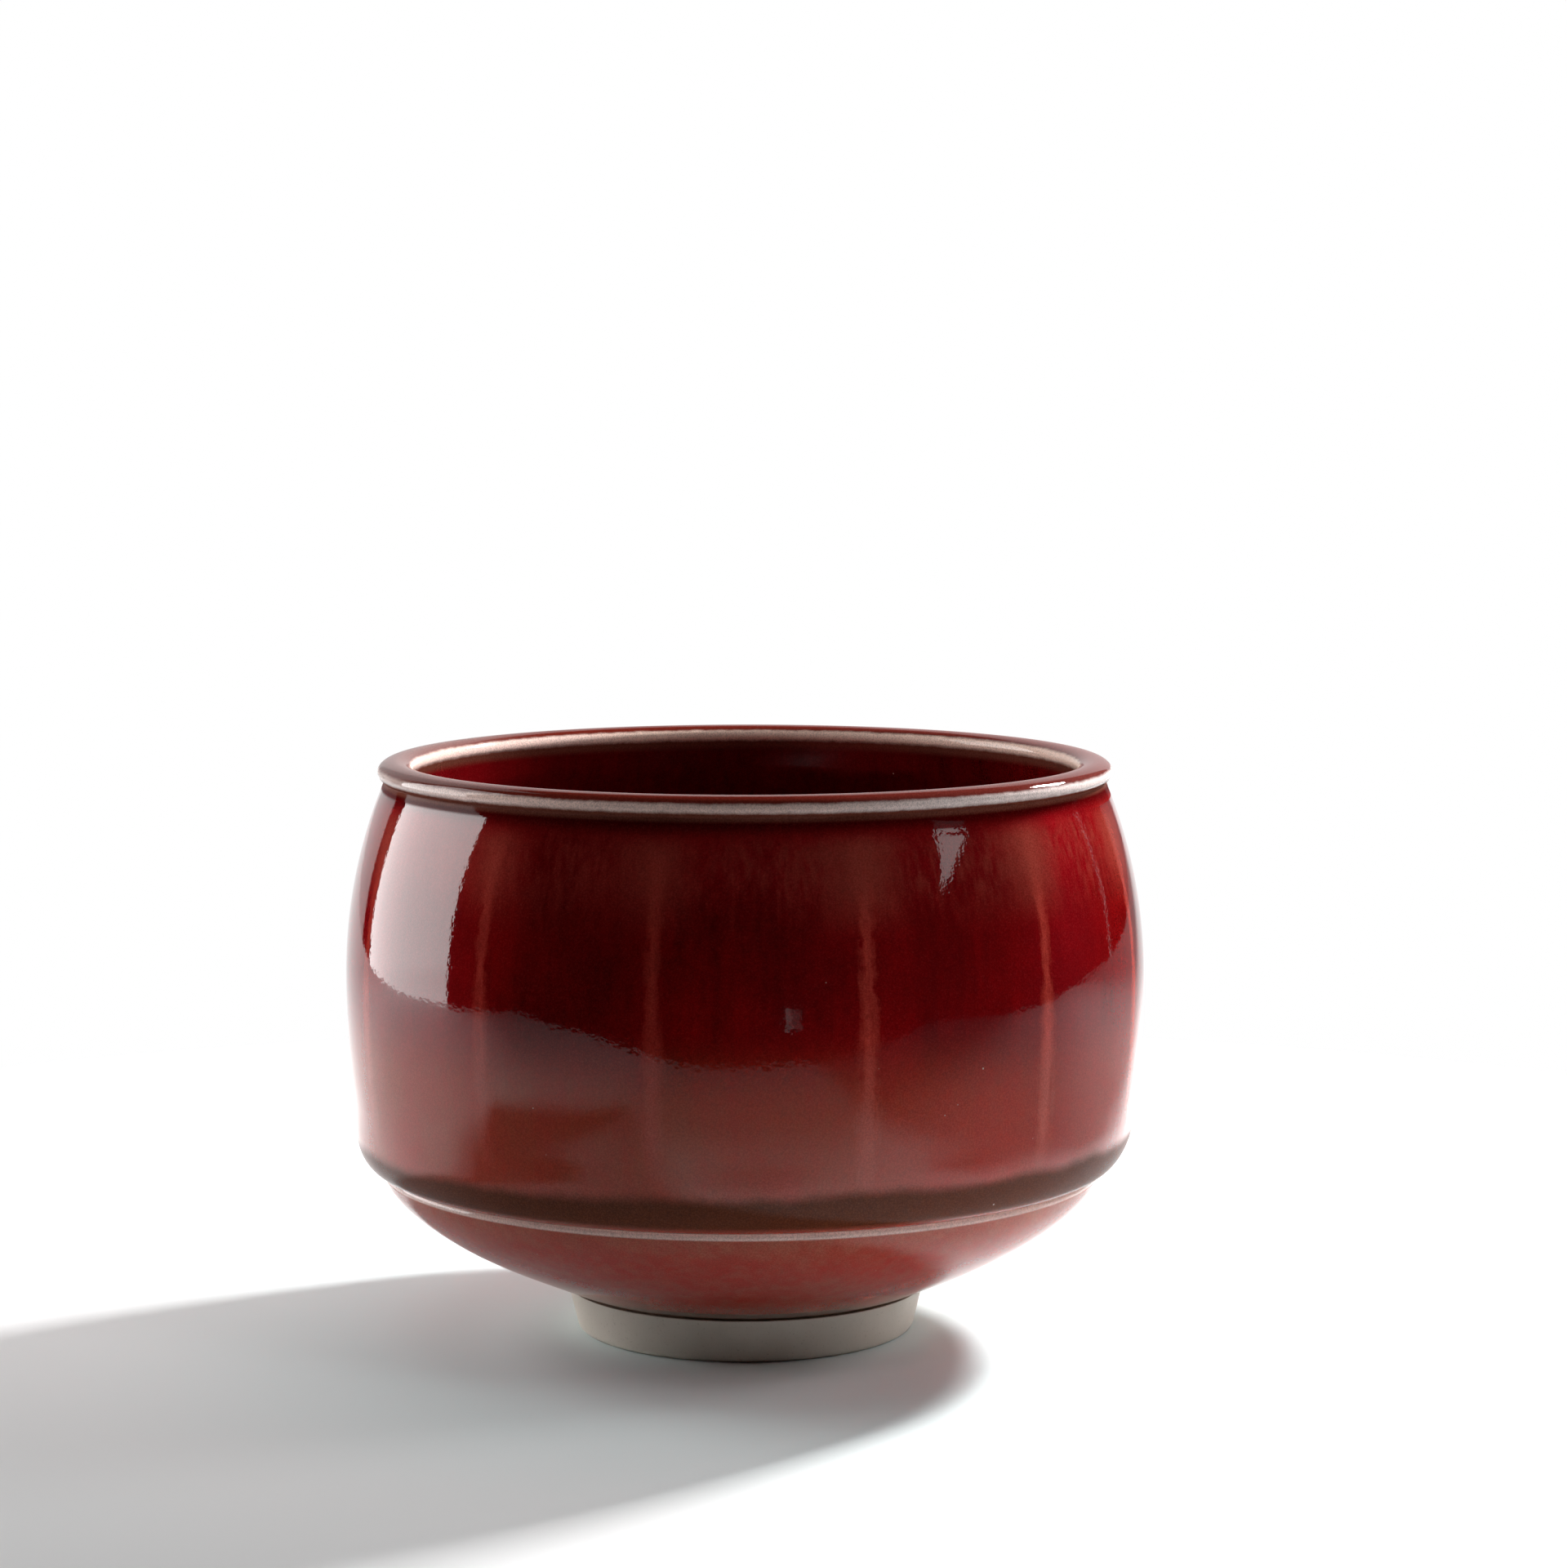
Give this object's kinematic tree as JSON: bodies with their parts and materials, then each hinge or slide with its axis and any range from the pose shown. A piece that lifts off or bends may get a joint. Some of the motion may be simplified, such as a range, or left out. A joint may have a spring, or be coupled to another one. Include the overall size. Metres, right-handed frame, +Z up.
{
  "type": "tea bowl",
  "caption": "Barrel-shaped porcelain tea bowl with soft facets, a rolled lip, a fine ridge above the rounded underside and a bare foot ring.",
  "frame": {"origin": "on the bowl's axis, in the plane that the foot ring stands on", "axes": "+Z up along the axis, towards the lip; -Y towards the side that the picture shows"},
  "size_m": [0.1252, 0.1254, 0.0905],
  "materials": {
    "bare_porcelain": "bare fired porcelain, matt and faintly sandy",
    "oxblood_glaze": "deep copper-red glaze, glossy, paler and browner where it runs thin on edges"
  },
  "bodies": {
    "root": {"porcelain_body": "bare_porcelain", "foot_ring": "bare_porcelain", "outer_glaze": "oxblood_glaze", "inner_glaze": "oxblood_glaze", "foot_well_glaze": "oxblood_glaze"}
  },
  "joints": []
}
